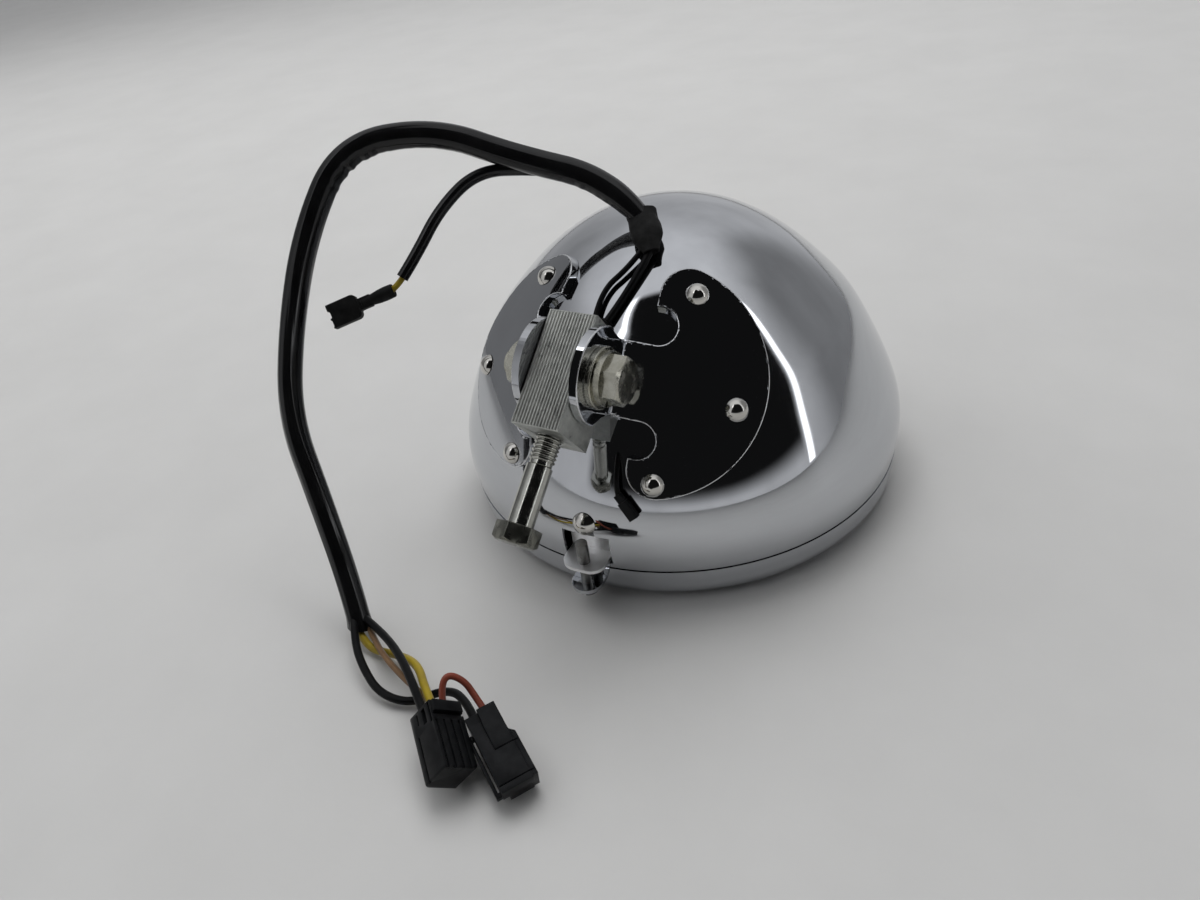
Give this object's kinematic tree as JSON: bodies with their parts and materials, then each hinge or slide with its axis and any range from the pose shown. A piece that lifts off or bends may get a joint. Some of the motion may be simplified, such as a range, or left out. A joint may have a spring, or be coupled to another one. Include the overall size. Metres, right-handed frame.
{
  "type": "motorcycle headlight",
  "caption": "Round chromed motorcycle headlight bowl with trim ring, riveted pivot bracket, mount block with bolt, and black wiring loom with plugs.",
  "frame": {"origin": "on the lens axis, in the plane of the trim ring front lip that the lamp stands on", "axes": "+Z is the back of the lamp (the beam leaves along -Z), -Y is the underside with rim clamp and mount block, X is across the bracket"},
  "size_m": [0.1838, 0.2499, 0.1391],
  "materials": {
    "chrome": "polished chrome plating",
    "zinc": "zinc-plated steel",
    "bright_steel": "bright plated steel",
    "rivet_steel": "nickel-plated steel",
    "clear_glass": "clear pressed glass",
    "reflector_silver": "vaporised aluminium",
    "black_rubber": "matte rubber",
    "loom_black": "glossy black vinyl",
    "plug_black": "matte black moulding",
    "wire_black": "black wire insulation",
    "wire_yellow": "yellow wire insulation",
    "wire_brown": "brown wire insulation",
    "wire_red": "red-brown wire insulation"
  },
  "bodies": {
    "lamp": {"shell": "chrome", "trim_ring": "chrome", "bracket_left": "chrome", "bracket_right": "chrome", "clamp_tab": "chrome", "lens": "clear_glass", "bulb_capsule": "clear_glass", "reflector": "reflector_silver", "lens_gasket": "black_rubber", "retaining_clips": "bright_steel", "bulb_base": "bright_steel", "bulb_clip": "bright_steel", "dust_boot": "black_rubber", "bulb_socket": "plug_black", "bracket_rivets": "rivet_steel", "clamp_rivet": "rivet_steel", "clamp_screw": "zinc", "pivot_bolt": "zinc", "pivot_washer": "zinc", "pivot_lock_washer": "zinc", "pivot_nut": "zinc", "wire_grommet": "black_rubber", "loom_sleeve": "plug_black", "main_loom": "loom_black", "branch_loom": "loom_black", "branch_wire": "wire_yellow", "branch_terminal": "plug_black", "lead_a": "wire_black", "lead_b": "wire_black", "inner_lead_a": "wire_black", "inner_lead_b": "wire_black", "wire_black": "wire_black", "wire_yellow": "wire_yellow", "wire_brown": "wire_brown", "wire_loop": "wire_black", "wire_red": "wire_red", "ribbed_connector": "plug_black", "slim_connector": "plug_black", "pilot_lead": "wire_black", "pilot_plug": "plug_black"},
    "mount": {"mount_block": "zinc", "mount_bolt": "bright_steel"}
  },
  "joints": [
    {"name": "aim_pivot", "type": "hinge", "parent": "lamp", "child": "mount", "pos_m": [0, -0.071, 0.0814], "axis": [1, 0, 0], "range_deg": [-10, 10]}
  ]
}
